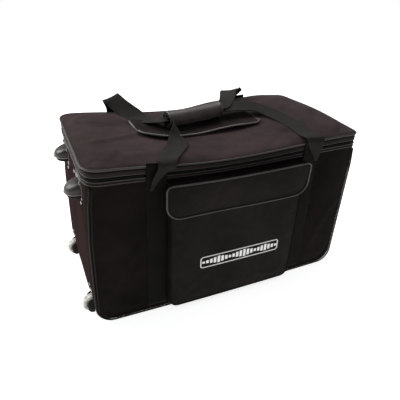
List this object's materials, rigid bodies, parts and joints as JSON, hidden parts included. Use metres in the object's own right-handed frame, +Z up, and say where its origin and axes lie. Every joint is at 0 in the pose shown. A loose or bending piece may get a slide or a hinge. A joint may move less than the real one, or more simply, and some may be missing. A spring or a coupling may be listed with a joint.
{
  "type": "padded roller bag",
  "caption": "Padded wheeled equipment bag with a zipped lid, wrapped webbing carry handles, a flap pocket, luggage wheels and stand feet.",
  "frame": {"origin": "centre of the base's underside, on the surface the bag lies on", "axes": "+X along the length from the wheel end to the tow-handle end, +Y from the pocket face to the rear, +Z up through the lid"},
  "size_m": [0.8038, 0.4351, 0.4986],
  "materials": {
    "side_fabric": "matte coated polyester weave, near black",
    "lid_fabric": "matte coated polyester weave, dark grey brown",
    "webbing": "ribbed polypropylene webbing, dark grey",
    "binding": "smooth woven edge binding, slight sheen",
    "wrap_fabric": "smooth coated fabric, satin",
    "zip_tape": "fine black zip tape",
    "zip_teeth": "black nylon coil",
    "zip_metal": "black enamel on zinc",
    "hook_loop": "hook and loop tape, black",
    "badge": null,
    "board": "black polyethylene board",
    "black_plastic": "moulded black plastic, satin",
    "tyre": "translucent grey white polyurethane",
    "hub": "grey moulded nylon",
    "steel": "zinc plated steel"
  },
  "bodies": {
    "bag": {"front_panel": "side_fabric", "rear_panel": "side_fabric", "base_gusset": "side_fabric", "wheel_end_panel": "side_fabric", "tow_end_panel": "side_fabric", "base_board": "board", "wheel_end_board": "board", "front_piping": "binding", "rear_piping": "binding", "rim_binding": "binding", "zip_tape_lower": "zip_tape", "zip_teeth_lower": "zip_teeth", "lid_hinge_strip": "lid_fabric", "front_strap_left": "webbing", "front_strap_right": "webbing", "rear_strap_left": "webbing", "rear_strap_right": "webbing", "pocket_panel": "side_fabric", "pocket_gusset": "side_fabric", "pocket_flap_bridge": "side_fabric", "pocket_loop_tape": "hook_loop", "badge_patch": "badge", "wheel_housing_front": "black_plastic", "wheel_housing_rear": "black_plastic", "axle_front": "steel", "axle_rear": "steel", "stand_foot_front": "black_plastic", "stand_foot_rear": "black_plastic", "foot_rivets_front": "steel", "foot_rivets_rear": "steel", "housing_rivets_front": "steel", "housing_rivets_rear": "steel", "tow_handle": "webbing", "tow_handle_patch_lower": "webbing", "tow_handle_patch_upper": "webbing"},
    "lid": {"lid_panel": "lid_fabric", "lid_boxing": "lid_fabric", "lid_piping": "binding", "zip_tape_upper": "zip_tape", "zip_teeth_upper": "zip_teeth", "rear_riser_left": "webbing", "rear_riser_right": "webbing"},
    "rear_handle": {"rear_handle_webbing": "webbing", "handle_wrap": "wrap_fabric", "wrap_apron": "wrap_fabric", "apron_binding": "binding"},
    "front_handle": {"front_handle_webbing": "webbing"},
    "pocket_flap": {"pocket_flap": "side_fabric", "flap_binding": "binding", "flap_hook_tape": "hook_loop"},
    "wheel_front": {"wheel_front_tyre": "tyre", "wheel_front_hub": "hub"},
    "wheel_rear": {"wheel_rear_tyre": "tyre", "wheel_rear_hub": "hub"},
    "zip_slider_front": {"zip_slider_front": "zip_metal"},
    "zip_slider_rear": {"zip_slider_rear": "zip_metal"},
    "zip_pull_front": {"zip_pull_front": "zip_metal"},
    "zip_pull_rear": {"zip_pull_rear": "zip_metal"}
  },
  "joints": [
    {"name": "lid_open", "type": "hinge", "parent": "bag", "child": "lid", "pos_m": [0, 0.1935, 0.4105], "axis": [-1, 0, 0], "range_deg": [0, 100], "deforming": ["lid_hinge_strip", "front_handle_webbing"]},
    {"name": "front_handle_fall", "type": "hinge", "parent": "bag", "child": "front_handle", "pos_m": [0, -0.1975, 0.4475], "axis": [1, 0, 0], "range_deg": [0, 240]},
    {"name": "rear_handle_lift", "type": "hinge", "parent": "lid", "child": "rear_handle", "pos_m": [0, 0.1995, 0.4475], "axis": [-1, 0, 0], "range_deg": [0, 90]},
    {"name": "pocket_flap_open", "type": "hinge", "parent": "bag", "child": "pocket_flap", "pos_m": [0, -0.2172, 0.3902], "axis": [-1, 0, 0], "range_deg": [0, 160]},
    {"name": "wheel_front_spin", "type": "hinge", "parent": "bag", "child": "wheel_front", "pos_m": [-0.374, -0.13, 0.0255], "axis": [0, 1, 0], "continuous": true},
    {"name": "wheel_rear_spin", "type": "hinge", "parent": "bag", "child": "wheel_rear", "pos_m": [-0.374, 0.13, 0.0255], "axis": [0, 1, 0], "continuous": true},
    {"name": "zip_slide_front", "type": "slide", "parent": "bag", "child": "zip_slider_front", "axis": [0, 1, 0], "range_m": [-0.145, 0]},
    {"name": "zip_slide_rear", "type": "slide", "parent": "bag", "child": "zip_slider_rear", "axis": [0, 1, 0], "range_m": [0, 0.145]},
    {"name": "zip_pull_front_swing", "type": "hinge", "parent": "zip_slider_front", "child": "zip_pull_front", "pos_m": [0.3779, -0.008, 0.4097], "axis": [0, -1, 0], "range_deg": [0, 140]},
    {"name": "zip_pull_rear_swing", "type": "hinge", "parent": "zip_slider_rear", "child": "zip_pull_rear", "pos_m": [0.3779, 0.008, 0.4097], "axis": [0, -1, 0], "range_deg": [0, 140]}
  ],
  "couplings": [
    {"joint": "front_handle_fall", "follows": "lid_open", "ratio": 2.4}
  ]
}
